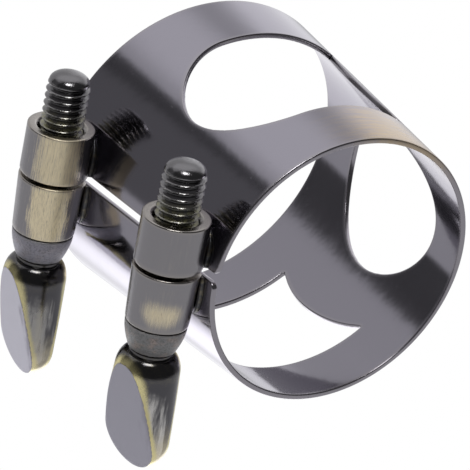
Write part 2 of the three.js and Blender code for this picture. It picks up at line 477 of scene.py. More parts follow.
@dataclass(frozen=True)
class HeadFinish:
    """Black nickel on a thumb head, satin on the flats, worn to brass along their edges, with a
    painted reflection in light streaks down its middle.
    """

    name: str
    axis: Point
    wear: float
    # This strength sets both the brass wear on the lower end and the painted reflection down the
    # middle.
    brass_and_reflection: float
    plate: Colour = (0.10, 0.098, 0.105, 1.0)
    flat: Colour = (0.36, 0.35, 0.40, 1.0)
    brass: Colour = (0.98, 0.88, 0.46, 1.0)
    # painted reflection: the pale silver of the light streaks down the middle of the body
    rub_and_reflection: Colour = (0.88, 0.86, 0.82, 1.0)
    brown: Colour = (0.95, 0.84, 0.58, 1.0)

    def material(self) -> bpy.types.Material:
        """Wire the finish.

        Returns:
            The material.
        """
        material, bench = new_bench(self.name)
        rim = bench.attribute("rim")
        face = bench.attribute("face")
        low = bench.attribute("low")
        clouds = bench.noise(bench.coordinates((0.9, 0.9, 0.9)), 4, 0.6)
        grain = bench.noise(bench.coordinates((11, 11, 11)), 4, 0.75)
        brushing = bench.noise(bench.coordinates((6, 6, 0.5)), 3)
        scratches = bench.noise(bench.coordinates((1.5, 9, 1.2)), 3, 0.7).step(0.66, 0.74)
        ends = (low - 0.45) * (low - 0.45) * 3.0
        spread = 0.34 + ends * 0.8 + clouds * 0.25
        line = (rim / spread + (grain - 0.5) * 0.9).step(1.1, 0.3) * self.wear * (1 - face)
        patchy = low + (clouds - 0.5) * 0.35
        lower = patchy.step(0.4, 0.95) * (1 - face)
        ahead = bench.towards(FRONT_SIDE, self.axis)
        # painted reflection: upright light streaks on the side of the body that faces the camera,
        # kept off the shoulder
        reflection_streaks = bench.noise(bench.coordinates((1.6, 1.6, 0.22)), 3, 0.6)
        middle = (ahead * 0.3 + (reflection_streaks - 0.5) * 1.1).step(0.62, 1.0)
        middle = middle * patchy.step(0.06, 0.3)
        colour = bench.blend(middle * self.brass_and_reflection, self.plate, self.rub_and_reflection)
        colour = bench.blend(lower * self.brass_and_reflection, colour, self.brown)
        colour = bench.blend(line, colour, self.brass)
        colour = bench.blend(face, colour, self.flat)
        colour = bench.blend(scratches * face * 0.35, colour, grey(0.6))
        roughness = 0.1 + face * 0.2 + middle * 0.22 + line * 0.12 + clouds * 0.06
        normal = bench.bump(grain, 0.006, bench.bump(brushing, 0.006))
        bench.metal(colour, roughness, normal)
        return material


@dataclass(frozen=True)
class BrazeFinish:
    """Braze under the plate: dark, uneven, a little brassy."""

    plate: Colour = (0.10, 0.10, 0.105, 1.0)
    brass: Colour = (0.24, 0.21, 0.15, 1.0)

    def material(self) -> bpy.types.Material:
        """Wire the finish.

        Returns:
            The material.
        """
        material, bench = new_bench("braze_bead")
        lumps = bench.noise(bench.coordinates((1.7, 1.7, 1.7)), 4, 0.6)
        grain = bench.noise(bench.coordinates((9, 9, 9)), 3)
        colour = bench.blend(lumps.step(0.45, 0.7), self.plate, self.brass)
        normal = bench.bump(grain, 0.01, bench.bump(lumps, 0.09))
        roughness = 0.25 + lumps * 0.2
        bench.metal(colour, roughness, normal)
        return material


# ---- Shape helpers --------------------------------------------------------------------
def rounded(path: Sequence[tuple[float, float, float]], steps: int = 4) -> list[Point]:
    """Round the corners of an open path.

    Args:
        path: Corners as two coordinates and a rounding length.
        steps: Pieces to each rounded corner.

    Returns:
        The path's points.
    """
    points: list[Point] = []
    for index, (a, b, length) in enumerate(path):
        corner = Vector((a, b))
        if length <= 0 or index in (0, len(path) - 1):
            points.append((a, b))
            continue
        before = Vector(path[index - 1][:2]) - corner
        after = Vector(path[index + 1][:2]) - corner
        start = corner + before.normalized() * min(length, before.length * 0.49)
        finish = corner + after.normalized() * min(length, after.length * 0.49)
        for step in range(steps + 1):
            t = step / steps
            spot = start * (1 - t) ** 2 + corner * 2 * t * (1 - t) + finish * t * t
            points.append((spot.x, spot.y))
    return points


def divided(path: Sequence[Point], longest: float) -> list[Point]:
    """Split a path's long stretches.

    Args:
        path: The path.
        longest: The most that a stretch may measure.

    Returns:
        The path with points added.
    """
    points = [path[0]]
    for (a, b), (c, d) in zip(path, path[1:]):
        count = max(1, math.ceil(math.dist((a, b), (c, d)) / longest))
        for step in range(1, count + 1):
            t = step / count
            points.append((a + (c - a) * t, b + (d - b) * t))
    return points


def chain(shape: Shape, path: Sequence[Sequence[float]], closed: bool) -> list[Any]:
    """Lay vertices along a path and join them with edges.

    Args:
        shape: The mesh to add to.
        path: The points.
        closed: Whether the last point joins the first.

    Returns:
        The new vertices and edges.
    """
    verts = [shape.verts.new(point) for point in path]
    pairs = list(zip(verts, verts[1:])) + ([(verts[-1], verts[0])] if closed else [])
    return verts + [shape.edges.new(pair) for pair in pairs]


def face_out(shape: Shape) -> None:
    """Turn every face of a closed shape outwards.

    Args:
        shape: The shape.
    """
    bmesh.ops.recalc_face_normals(shape, faces=shape.faces[:])
    if shape.calc_volume(signed=True) < 0:
        bmesh.ops.reverse_faces(shape, faces=shape.faces[:])


def turned(path: Sequence[Point], centre: Point, sides: int, closed: bool = False) -> Shape:
    """Turn a profile of radius and height about an upright axis.

    Args:
        path: The profile.
        centre: Where the axis stands.
        sides: Facets in a full turn.
        closed: Whether the profile is a ring, as on a piece with a bore.

    Returns:
        A closed shape.
    """
    shape = bmesh.new()
    profile = chain(shape, [(centre[0] + r, centre[1], z) for r, z in path], closed)
    bmesh.ops.spin(
        shape,
        geom=profile,
        cent=(*centre, 0),
        axis=(0, 0, 1),
        angle=TURN,
        steps=sides,
        use_merge=True,
    )
    bmesh.ops.remove_doubles(shape, verts=shape.verts[:], dist=DOUBLES)
    face_out(shape)
    return shape


def carry(shape: Shape, name: str, rule: Callable[[Vector], float]) -> None:
    """Store a number on every vertex, worked out from its place.

    Args:
        shape: The mesh.
        name: The attribute's name.
        rule: Gives the number for a place in millimetres.
    """
    layer = shape.verts.layers.float.get(name) or shape.verts.layers.float.new(name)
    for vert in shape.verts:
        vert[layer] = rule(vert.co)


def away_from(places: Iterable[Vector], reach: float) -> Callable[[Vector], float]:
    """Make a rule for how far a point is from a set of places.

    Args:
        places: The places.
        reach: The distance that counts as 1.

    Returns:
        The rule. It gives the distance as a share of the reach, and 1 beyond it.
    """
    spots = list(places)
    tree = KDTree(len(spots))
    for index, spot in enumerate(spots):
        tree.insert(spot, index)
    tree.balance()
    return lambda place: min(1.0, tree.find(place)[2] / reach)


def from_ends(low: float, high: float, reach: float) -> Callable[[Vector], float]:
    """Make a rule for how far a point is from the nearer end, as a share of a reach, up to 1."""
    return lambda place: min(1.0, min(place.z - low, high - place.z) / reach)


def finished(
    shape: Shape,
    name: str,
    material: bpy.types.Material,
    crease: float = 40.0,
    normals: Callable[[Vector], Vector] | None = None,
) -> bpy.types.Object:
    """Turn a shape in millimetres into a finished object in metres.

    Args:
        shape: The mesh, which is used up.
        name: The object's name.
        material: What it is dressed in.
        crease: Edges sharper than this, in degrees, stay crisp.
        normals: Gives a vertex's own normal, or a zero vector to leave it.

    Returns:
        The object.
    """
    for face in shape.faces:
        face.smooth = True
    for edge in shape.edges:
        edge.smooth = edge.calc_face_angle(0) < math.radians(crease)
    own = [normals(vert.co) for vert in shape.verts] if normals else []
    bmesh.ops.scale(shape, vec=(MM, MM, MM), verts=shape.verts[:])
    mesh = bpy.data.meshes.new(name)
    shape.to_mesh(mesh)
    shape.free()
    if own:
        mesh.normals_split_custom_set_from_vertices(own)
    made = bpy.data.objects.new(name, mesh)
    bpy.context.scene.collection.objects.link(made)
    mesh.materials.append(material)
    return made


def cut(shape: Shape, tool: Shape) -> Shape:
    """Cut one closed shape away from another.

    Args:
        shape: What is cut. It is used up.
        tool: What is cut away. It is used up.

    Returns:
        The cut shape.
    """
    meshes = []
    for part in (shape, tool):
        mesh = bpy.data.meshes.new("cutting")
        part.to_mesh(mesh)
        part.free()
        meshes.append(mesh)
    work, knife = (bpy.data.objects.new("cutting", mesh) for mesh in meshes)
    for thing in (work, knife):
        bpy.context.scene.collection.objects.link(thing)
    modifier = work.modifiers.new("cut", "BOOLEAN")
    modifier.operation = "DIFFERENCE"
    modifier.solver = "EXACT"
    modifier.object = knife
    graph = bpy.context.evaluated_depsgraph_get()
    result = bmesh.new()
    result.from_mesh(work.evaluated_get(graph).to_mesh())
    for thing in (work, knife):
        bpy.data.objects.remove(thing)
    for mesh in meshes:
        bpy.data.meshes.remove(mesh)
    bmesh.ops.remove_doubles(result, verts=result.verts[:], dist=DOUBLES)
    return result


def mount(piece: bpy.types.Object, node: str, body: str) -> None:
    """Put a finished piece in a CAD node's stead.

    Args:
        piece: The finished piece.
        node: The node that it stands for.
        body: The body that it rides on.
    """
    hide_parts(node)
    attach(piece, body)
    LOG.info("%s: %d faces, rides on %s", piece.name, len(piece.data.polygons), body)


# ---- The frame's places ---------------------------------------------------------------
@cache
def box_mm(node: str) -> tuple[Vector, Vector]:
    """Give a node's lowest and highest corners, in millimetres."""
    low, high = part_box(node)
    return low / MM, high / MM


@cache
def screw_axis(end: End) -> Point:
    """Find where a screw's axis stands.

    Args:
        end: The end of the seam.

    Returns:
        Its place along X and Y, in millimetres.
    """
    low, high = box_mm(f"{end.value}_screw_rod")
    return ((low.x + high.x) / 2, (low.y + high.y) / 2)


@dataclass(frozen=True)
class Bore:
    """The oval cone that the band is bent to."""

    front_width: float = 26.0
    rear_width: float = 29.6
    squash: float = 0.965
    front: float = box_mm("band")[0].y
    rear: float = box_mm("band")[1].y

    def radius(self, y: float) -> float:
        """Give the radius along X at a place along the bore."""
        share = (y - self.front) / (self.rear - self.front)
        return (self.front_width + (self.rear_width - self.front_width) * share) / 2

    def place(self, angle: float, y: float, height: float) -> Vector:
        """Give the point at an angle, a place along the bore and a height above it."""
        radius = self.radius(y) + height
        return Vector((radius * math.cos(angle), y, self.squash * radius * math.sin(angle)))

    def normal(self, place: Vector) -> Vector:
        """Give the outward direction at a point on the bore's surface.

        Args:
            place: The point.

        Returns:
            The direction, of length 1.
        """
        slope = (self.rear_width - self.front_width) / 2 / (self.rear - self.front)
        radius = math.hypot(place.x, place.z / self.squash)
        return Vector((place.x, -slope * radius, place.z / self.squash**2)).normalized()

    def solid(self, height: float, sides: int, overshoot: float) -> Shape:
        """Make the solid that fills the bore up to a height above its surface.

        Args:
            height: The height.
            sides: Facets round it.
            overshoot: How far it runs past both rims.

        Returns:
            The solid.
        """
        shape = bmesh.new()
        start, finish = self.front - overshoot, self.rear + overshoot
        bmesh.ops.create_cone(
            shape,
            cap_ends=True,
            segments=sides,
            radius1=self.radius(start) + height,
            radius2=self.radius(finish) + height,
            depth=finish - start,
        )
        stand = Matrix.Rotation(-QUARTER, 4, "X")
        bmesh.ops.transform(shape, matrix=stand, verts=shape.verts[:])
        bmesh.ops.scale(shape, vec=(1, 1, self.squash), verts=shape.verts[:])
        shift = (0, (start + finish) / 2, 0)
        bmesh.ops.translate(shape, vec=shift, verts=shape.verts[:])
        bmesh.ops.recalc_face_normals(shape, faces=shape.faces[:])
        return shape


BORE = Bore()


# ---- Band -----------------------------------------------------------------------------
@dataclass
class Band:
    """The stamped and bent sheet, with two side windows and the eye opposite the seam."""

    sheet: float = 0.55
    edge_round: float = 0.13
    worn_reach: float = 0.3
    rub_angle: float = 70.0  # degrees round the bend, 0 opposite the seam
    rub_width: float = 27.0
    seam_height: float = 0.7
    seam_gap: float = 0.85
    seam_corner: float = 0.7
    front_strip: float = 5.9
    rear_strip: float = 6.2
    lip_depth: float = 4.5
    window_nose: float = 6.5
    ring_depth: float = 7.05
    ring_arc: float = 15.4
    cusp_round: float = 0.35
    eye_length: float = 15.2
    eye_height: float = 14.4
    eye_shift: float = -0.55
    nose_steps: int = 48
    ring_steps: int = 30
    eye_steps: int = 150
    rim_steps: int = 3
    facets: int = 264
    bend_radius: float = 14.2  # the flat sheet's length is measured at this radius

    def _outer(self, y: float) -> float:
        """Give the sheet's middle radius at a place along the bore."""
        return BORE.radius(y) + self.sheet / 2

    def _window(self, side: int) -> list[Point]:
        """Give a side window's outline on the flat sheet.

        Args:
            side: 1 for the upper window, -1 for the lower one.

        Returns:
            The outline, as distance round the bend and place along the bore.
        """
        front = BORE.front + self.front_strip
        rear = BORE.rear - self.rear_strip
        middle, half = (front + rear) / 2, (rear - front) / 2
        outside = BORE.radius(middle) + self.sheet
        nose_x = -outside + self.lip_depth + self.window_nose
        ring_x = outside - self.ring_depth + self.ring_arc
        reach = math.asin(half / self.ring_arc)
        cusp_x = ring_x - self.ring_arc * math.cos(reach)
        path = []
        for step in range(self.nose_steps + 1):
            angle = QUARTER + math.pi * step / self.nose_steps
            x = nose_x + self.window_nose * math.cos(angle)
            path.append((x, middle + half * math.sin(angle), 0))
        path.append((cusp_x, front, self.cusp_round))
        for step in range(1, self.ring_steps):
            angle = math.pi + reach - 2 * reach * step / self.ring_steps
            x = ring_x + self.ring_arc * math.cos(angle)
            path.append((x, middle + self.ring_arc * math.sin(angle), 0))
        path.append((cusp_x, rear, self.cusp_round))
        path.append(path[0])
        flat = []
        for x, y in divided(rounded(path), 0.35)[:-1]:
            angle = math.acos(max(-1.0, min(1.0, x / self._outer(y))))
            flat.append((side * angle * self.bend_radius, y))
        return flat

    def _eye(self) -> list[Point]:
        """Give the eye's outline on the flat sheet.

        Returns:
            The outline, as distance round the bend and place along the bore.
        """
        flat = []
        for step in range(self.eye_steps):
            angle = TURN * step / self.eye_steps
            y = self.eye_shift + self.eye_length / 2 * math.sin(angle)
            z = self.eye_height / 2 * math.cos(angle)
            bend = math.asin(z / (BORE.squash * self._outer(y)))
            flat.append((bend * self.bend_radius, y))
        return flat

    def _blank(self) -> list[Point]:
        """Give the outside of the flat sheet, with rounded corners at the seam.

        Returns:
            The outline, as distance round the bend and place along the bore.
        """
        lips = []
        for y in (BORE.front, BORE.rear):
            for side, height in ((-1, -self.seam_gap / 2), (1, self.seam_gap / 2)):
                lift = math.asin((self.seam_height + height) / (BORE.squash * self._outer(y)))
                lips.append((side * math.pi - lift) * self.bend_radius)
        front_low, front_high, rear_low, rear_high = lips
        middle = (front_low + front_high) / 2
        path = [
            (middle, BORE.front, 0),
            (front_high, BORE.front, self.seam_corner),
            (rear_high, BORE.rear, self.seam_corner),
            (rear_low, BORE.rear, self.seam_corner),
            (front_low, BORE.front, self.seam_corner),
            (middle, BORE.front, 0),
        ]
        return divided(rounded(path, 6), 0.6)[:-1]

    def _drawn_in(self, outline: list[Point], side: int) -> list[Point]:
        """Move an outline into the sheet, past its rounded and worn edge.

        Args:
            outline: The closed outline.
            side: 1 where the sheet lies to the left of the outline's run, -1 to the right.

        Returns:
            The moved outline.
        """
        reach = self.edge_round + self.worn_reach
        moved = []
        for index, (u, y) in enumerate(outline):
            before = Vector(outline[index - 1])
            after = Vector(outline[(index + 1) % len(outline)])
            run = (after - before).normalized() * side * reach
            moved.append((u - run.y, y + run.x))
        return moved

    def _flat_sheet(self) -> Shape:
        """Lay the outlines flat, fill between them and score the sheet where it bends.

        Returns:
            The flat sheet's upper side, up to its rubbed edges.
        """
        shape = bmesh.new()
        outlines = [(self._blank(), 1), (self._window(1), 1), (self._window(-1), -1)]
        outlines.append((self._eye(), -1))
        for outline, side in outlines:
            chain(shape, [(u, y, self.sheet) for u, y in self._drawn_in(outline, side)], True)
        bmesh.ops.triangle_fill(shape, edges=shape.edges[:], use_beauty=True, normal=(0, 0, 1))
        step = TURN * self.bend_radius / self.facets
        for index in range(-self.facets // 2 - 1, self.facets // 2 + 1):
            bmesh.ops.bisect_plane(
                shape,
                geom=shape.verts[:] + shape.edges[:] + shape.faces[:],
                dist=0.03,
                plane_co=(index * step, 0, 0),
                plane_no=(1, 0, 0),
                use_snap_center=True,
            )
        spare = []
        for edge in shape.edges:
            a, b = (vert.co.x / step for vert in edge.verts)
            on_score = abs(a - b) < 1e-3 and abs(a - round(a)) < 1e-2
            if len(edge.link_faces) == 2 and not on_score:
                spare.append(edge)
        bmesh.ops.dissolve_edges(shape, edges=spare, use_verts=False)
        bmesh.ops.triangulate(shape, faces=shape.faces[:])
        bmesh.ops.recalc_face_normals(shape, faces=shape.faces[:])
        return shape

    def _thicken(self, shape: Shape) -> None:
        """Give the flat sheet its thickness and its rounded edges.

        The rim is drawn outwards from the upper side, round the edge and in under the lower
        side, where a copy of the sheet's middle closes it.

        Args:
            shape: The flat sheet's upper side.
        """
        edge = shape.verts.layers.float.new("edge")
        out = shape.verts.layers.float_vector.new("out")
        for vert in shape.verts:
            vert[edge] = 1.0
        middle = shape.faces[:]
        rims = [item for item in shape.edges if len(item.link_faces) == 1]
        for vert in {vert for item in rims for vert in item.verts}:
            vert[out] = self._way_out(vert)
        copied = bmesh.ops.duplicate(shape, geom=middle)["geom"]
        under = [item for item in copied if isinstance(item, bmesh.types.BMVert)]
        bmesh.ops.translate(shape, vec=(0, 0, -self.sheet), verts=under)
        lower = [item for item in copied if isinstance(item, bmesh.types.BMFace)]
        bmesh.ops.reverse_faces(shape, faces=lower)
        path = [(self.worn_reach, self.sheet)]
        for step in range(1, self.rim_steps + 1):
            angle = step * QUARTER / self.rim_steps
            further = self.worn_reach + self.edge_round * math.sin(angle)
            path.append((further, self.sheet - self.edge_round * (1 - math.cos(angle))))
        path += [(further, self.sheet - level) for further, level in reversed(path)]
        outward = 0.0
        for further, level in [*path, (0.0, 0.0)]:
            grown = bmesh.ops.extrude_edge_only(shape, edges=rims)["geom"]
            rims = [item for item in grown if isinstance(item, bmesh.types.BMEdge)]
            for vert in [item for item in grown if isinstance(item, bmesh.types.BMVert)]:
                vert.co += vert[out] * (further - outward)
                vert.co.z = level
                vert[edge] = 1.0 if further == 0.0 else 0.0
            outward = further
        bmesh.ops.remove_doubles(shape, verts=shape.verts[:], dist=1e-3)
        bmesh.ops.recalc_face_normals(shape, faces=shape.faces[:])

    def _way_out(self, vert: bmesh.types.BMVert) -> Vector:
        """Find which way leads out of the flat sheet at a point of its border.

        Args:
            vert: The point.

        Returns:
            The direction, of length 1.
        """
        way = Vector((0, 0, 0))
        for item in vert.link_edges:
            if len(item.link_faces) == 1:
                start = item.verts[0].co
                run = (item.verts[1].co - start).normalized()
                side = Vector((run.y, -run.x, 0))
                inward = item.link_faces[0].calc_center_median() - start
                way += side if side.dot(inward) < 0 else -side
        return way.normalized()

    def _rub(self, u: float, y: float) -> float:
        """Say how far the front strip's brushing has gone through.

        Args:
            u: Distance round the bend.
            y: Place along the bore.

        Returns:
            From 0 to 1.
        """
        if y >= BORE.front + self.front_strip + 3:
            return 0.0
        angle = math.degrees(u / self.bend_radius)
        along = math.exp(-(((angle - self.rub_angle) / self.rub_width) ** 2))
        across = max(0.0, min(1.0, 1.25 - (y - BORE.front) / self.front_strip))
        return along * (0.35 + 0.65 * across)

    def build(self) -> Shape:
        """Cut, thicken and bend the sheet.

        Returns:
            The band.
        """
        shape = self._flat_sheet()
        self._thicken(shape)
        rub = shape.verts.layers.float.new("rub")
        surface = shape.loops.layers.uv.new("sheet")
        for vert in shape.verts:
            vert[rub] = self._rub(vert.co.x, vert.co.y)
        for face in shape.faces:
            for loop in face.loops:
                loop[surface].uv = loop.vert.co.xy / UV_SPAN
        for vert in shape.verts:
            vert.co = BORE.place(vert.co.x / self.bend_radius, vert.co.y, vert.co.z)
        face_out(shape)
        return shape

    def _own_normal(self, place: Vector) -> Vector:
        """Give the bent sheet's true normal.

        Args:
            place: A point of the band.

        Returns:
            The normal on the two broad sides, or a zero vector elsewhere.
        """
        height = math.hypot(place.x, place.z / BORE.squash) - BORE.radius(place.y)
        if height > self.sheet - 1e-3:
            return BORE.normal(place)
        if height < 1e-3:
            return -BORE.normal(place)
        return Vector((0, 0, 0))

    def dress(self) -> None:
        """Finish the band and mount it."""
        material = BandFinish().material()
        piece = finished(self.build(), "spring_band", material, 50, self._own_normal)
        mount(piece, "band", "clamp")


# ---- Posts ----------------------------------------------------------------------------
@dataclass
class Post:
    """A tapped or plain barrel, saddled to the band."""

    end: End
    level: str
    radius: float = 3.1
    foot_radius: float = 3.1
    bore: float = 2.05
    edge_round: float = 0.22
    countersink: float = 0.3
    taper_top: float = 0.3  # a tapered barrel reaches its full width this far under its top
    seat: float = 0.71  # from the bore's surface to the saddle
    edge_reach: float = 0.35
    sides: int = 120

    def build(self) -> Shape:
        """Turn the barrel and cut its saddle.

        Returns:
            The barrel.
        """
        low, high = box_mm(f"{self.end.value}_{self.level}_post")
        sink = self.countersink
        path = [
            (self.bore, (low.z + high.z) / 2, 0),
            (self.bore, low.z, 0.1),
            (self.foot_radius, low.z, self.edge_round),
            (self.radius, high.z - self.taper_top, 0.5),
            (self.radius, high.z, self.edge_round),
            (self.bore + sink, high.z, 0.1),
            (self.bore, high.z - sink, 0.1),
            (self.bore, (low.z + high.z) / 2, 0),
        ]
        profile = divided(rounded(path, 5), 0.4)[:-1]
        barrel = turned(profile, screw_axis(self.end), self.sides, closed=True)
        return cut(barrel, BORE.solid(self.seat, sides=720, overshoot=6))

    def dress(self, material: bpy.types.Material) -> None:
        """Finish the post and mount it.

        Args:
            material: Its finish.
        """
        node = f"{self.end.value}_{self.level}_post"
        low, high = box_mm(node)
        shape = self.build()
        carry(shape, "edge", from_ends(low.z, high.z, self.edge_reach))
        piece = finished(shape, f"{node}_barrel", material, 30)
        mount(piece, node, "clamp")


@dataclass
class Braze:
    """The bead of braze along both sides of a post."""

    end: End
    level: str
    clear: float = 0.03
    post_radius: float = 3.1
    sheet: float = 0.55
    leg: float = 0.62
    end_gap: float = 0.05
    corners: int = 8
    rows: int = 40
    search_steps: int = 400

    def _meeting(self, z: float, side: int) -> float:
        """Find how far beside the axis the post's side meets the sheet at a height.

        Args:
            z: The height.
            side: 1 or -1, for the two sides of the post.

        Returns:
            The offset along the bore, or half the post's radius where they don't meet.
        """
        x = screw_axis(self.end)[0]
        radius = self.post_radius + self.clear
        for step in range(self.search_steps):
            offset = radius * (1 - step / self.search_steps)
            surface = self._on_sheet(z, side, offset).x
            if x + math.sqrt(radius**2 - offset**2) >= surface - 0.02:
                return offset
        return radius * 0.5

    def _on_sheet(self, z: float, side: int, offset: float) -> Vector:
        """Give the point just off the sheet at a height and an offset beside the post's axis.

        Args:
            z: The height.
            side: 1 or -1.
            offset: The offset along the bore.

        Returns:
            The point.
        """
        place = screw_axis(self.end)[1] + side * offset
        outside = BORE.radius(place) + self.sheet + self.clear
        return Vector((-math.sqrt(outside**2 - (z / BORE.squash) ** 2), place, z))

    def _on_post(self, z: float, side: int, offset: float, distance: float) -> Vector:
        """Give the point just off the post, so far round it from where it meets the sheet.

        Args:
            z: The height.
            side: 1 or -1.
            offset: Where the post meets the sheet.
            distance: How far round the post.

        Returns:
            The point.
        """
        x, y = screw_axis(self.end)
        radius = self.post_radius + self.clear
        angle = math.asin(min(1.0, offset / radius)) + distance / radius
        return Vector((x + radius * math.cos(angle), y + side * radius * math.sin(angle), z))

    def _section(self, z: float, side: int, taper: float) -> list[Vector]:
        """Give the bead's section at a height, as a concave triangle.

        Args:
            z: The height.
            side: 1 or -1.
            taper: How full the bead is here, from 0 to 1.

        Returns:
            The points round the section.
        """
        offset = self._meeting(z, side)
        leg = self.leg * taper
        root = self._on_sheet(z, side, offset)
        sheet_toe = self._on_sheet(z, side, offset + leg)
        post_toe = self._on_post(z, side, offset, leg)
        inner = root * 0.55 + (sheet_toe + post_toe) * 0.225
        section = [root]
        for step in range(self.corners - 1):
            t = step / (self.corners - 2)
            spot = sheet_toe * (1 - t) ** 2 + inner * 2 * t * (1 - t) + post_toe * t * t
            section.append(spot)
        return section

    def build(self) -> Shape:
        """Draw the two beads along the post.

        Returns:
            Both beads.
        """
        low, high = box_mm(f"{self.end.value}_{self.level}_braze")
        if self.level == "upper":
            start, finish = low.z + self.end_gap, min(high.z - 0.3, low.z + 3.4)
        else:
            start, finish = max(low.z + 0.3, high.z - 4.2), high.z - self.end_gap
        whole = bmesh.new()
        for side in (1, -1):
            made = bmesh.ops.create_cone(
                whole, cap_ends=True, segments=self.corners, radius1=1, radius2=1, depth=1
            )["verts"]
            edges = {edge for vert in made for edge in vert.link_edges}
            edges = [e for e in edges if abs(e.verts[0].co.z - e.verts[1].co.z) > 0.5]
            bmesh.ops.subdivide_edges(whole, edges=edges, cuts=self.rows)
            verts = [vert for vert in whole.verts if not vert.tag]
            for vert in verts:
                turn = math.atan2(vert.co.y, vert.co.x) / TURN
                spot = round(turn * self.corners) % self.corners
                share = vert.co.z + 0.5
                swell = math.sin(math.pi * min(1.0, max(0.0, 0.08 + 0.84 * share)))
                taper = 0.25 + 0.75 * swell**0.5
                height = start + (finish - start) * share
                vert.co = self._section(height, side, taper)[spot]
                vert.tag = True
            if side < 0:
                faces = list({face for vert in verts for face in vert.link_faces})
                bmesh.ops.reverse_faces(whole, faces=faces)
        return whole

    def dress(self, material: bpy.types.Material) -> None:
        """Finish the beads and mount them.

        Args:
            material: Their finish.
        """
        node = f"{self.end.value}_{self.level}_braze"
        piece = finished(self.build(), f"{node}_bead", material, 50)
        mount(piece, node, "clamp")


# ---- Screw ----------------------------------------------------------------------------
@dataclass
class Collar:
    """The dull tapered collar between the lower post and the thumb head."""

    end: End
    foot_radius: float = 2.15
    top_radius: float = 2.8
    bore: float = 1.55
    edge_round: float = 0.16
    edge_reach: float = 0.3
    curve_steps: int = 16
    sides: int = 120

    def build(self) -> Shape:
        """Turn the collar.

        Returns:
            The collar.
        """
        low, high = box_mm(f"{self.end.value}_collar")
        rise = high.z - low.z
        path = [(self.bore, (low.z + high.z) / 2, 0.0), (self.bore, low.z, 0.08)]
        path.append((self.foot_radius, low.z, self.edge_round))
        for step in range(1, self.curve_steps):
            share = step / self.curve_steps
            swell = math.sin(share * QUARTER)
            radius = self.foot_radius + (self.top_radius - self.foot_radius) * swell
            path.append((radius, low.z + rise * share, 0.0))
        path.append((self.top_radius, high.z, self.edge_round))
        path.append((self.bore, high.z, 0.08))
        path.append((self.bore, (low.z + high.z) / 2, 0.0))
        profile = divided(rounded(path, 4), 0.25)[:-1]
        return turned(profile, screw_axis(self.end), self.sides, closed=True)

    def dress(self, material: bpy.types.Material) -> None:
        """Finish the collar and mount it.

        Args:
            material: Its finish.
        """
        node = f"{self.end.value}_collar"
        low, high = box_mm(node)
        shape = self.build()
        carry(shape, "edge", from_ends(low.z, high.z, self.edge_reach))
        mount(finished(shape, f"{node}_ring", material, 50), node, node)


@dataclass
class Rod:
    """The threaded rod, with a real helix and a domed tip."""

    end: End
    radius: float = 2.0
    pitch: float = 0.7
    depth: float = 0.42
    shank: float = 1.5
    dome: float = 0.95
    shank_top: float = 0.6
    pitch_rows: int = 14
    sharpness: float = 1.8  # a higher number makes the crests narrower
    sides: int = 72

    def build(self) -> Shape:
        """Turn the rod and raise its thread.

        Returns:
            The rod.
        """
        low, high = box_mm(f"{self.end.value}_screw_rod")
        start = box_mm(f"{self.end.value}_lower_post")[0].z + self.shank_top
        finish = high.z - self.dome
        tip = self.radius - self.depth / 3
        path = [(0.0, low.z), (self.shank, low.z), (self.shank, start)]
        rows = round((finish - start) / self.pitch * self.pitch_rows)
        for row in range(rows + 1):
            path.append((self.radius, start + (finish - start) * row / rows))
        for step in range(13):
            angle = step / 12 * QUARTER
            path.append((tip * math.cos(angle) ** 0.9, finish + self.dome * math.sin(angle)))
        path[-1] = (0.0, high.z)
        centre = screw_axis(self.end)
        shape = turned(path, centre, self.sides)
        crest = shape.verts.layers.float.new("crest")
        for vert in shape.verts:
            out = Vector((vert.co.x - centre[0], vert.co.y - centre[1], 0))
            below, above = finish - vert.co.z, vert.co.z - start
            vert[crest] = 0.6
            if min(below, above) < -0.01 or out.length <= self.shank + 0.1:
                continue
            phase = (vert.co.z / self.pitch - math.atan2(out.y, out.x) / TURN) % 1.0
            ridge = (0.5 - 0.5 * math.cos(TURN * phase)) ** self.sharpness
            fade = max(0.0, min(1.0, below / 0.3, above / 0.4))
            drop = self.depth * (1 - ridge) * fade
            drop += (self.radius - tip) * max(0.0, 1 - below / 0.35)
            place = out.normalized() * (self.radius - min(drop, self.depth))
            vert.co.x, vert.co.y = centre[0] + place.x, centre[1] + place.y
            vert[crest] = ridge
        bmesh.ops.recalc_face_normals(shape, faces=shape.faces[:])
        return shape

    def dress(self, material: bpy.types.Material) -> None:
        """Finish the rod and mount it.

        Args:
            material: Its finish.
        """
        node = f"{self.end.value}_screw_rod"
        piece = finished(self.build(), f"{self.end.value}_threaded_rod", material, 60)
        mount(piece, node, f"{self.end.value}_screw")


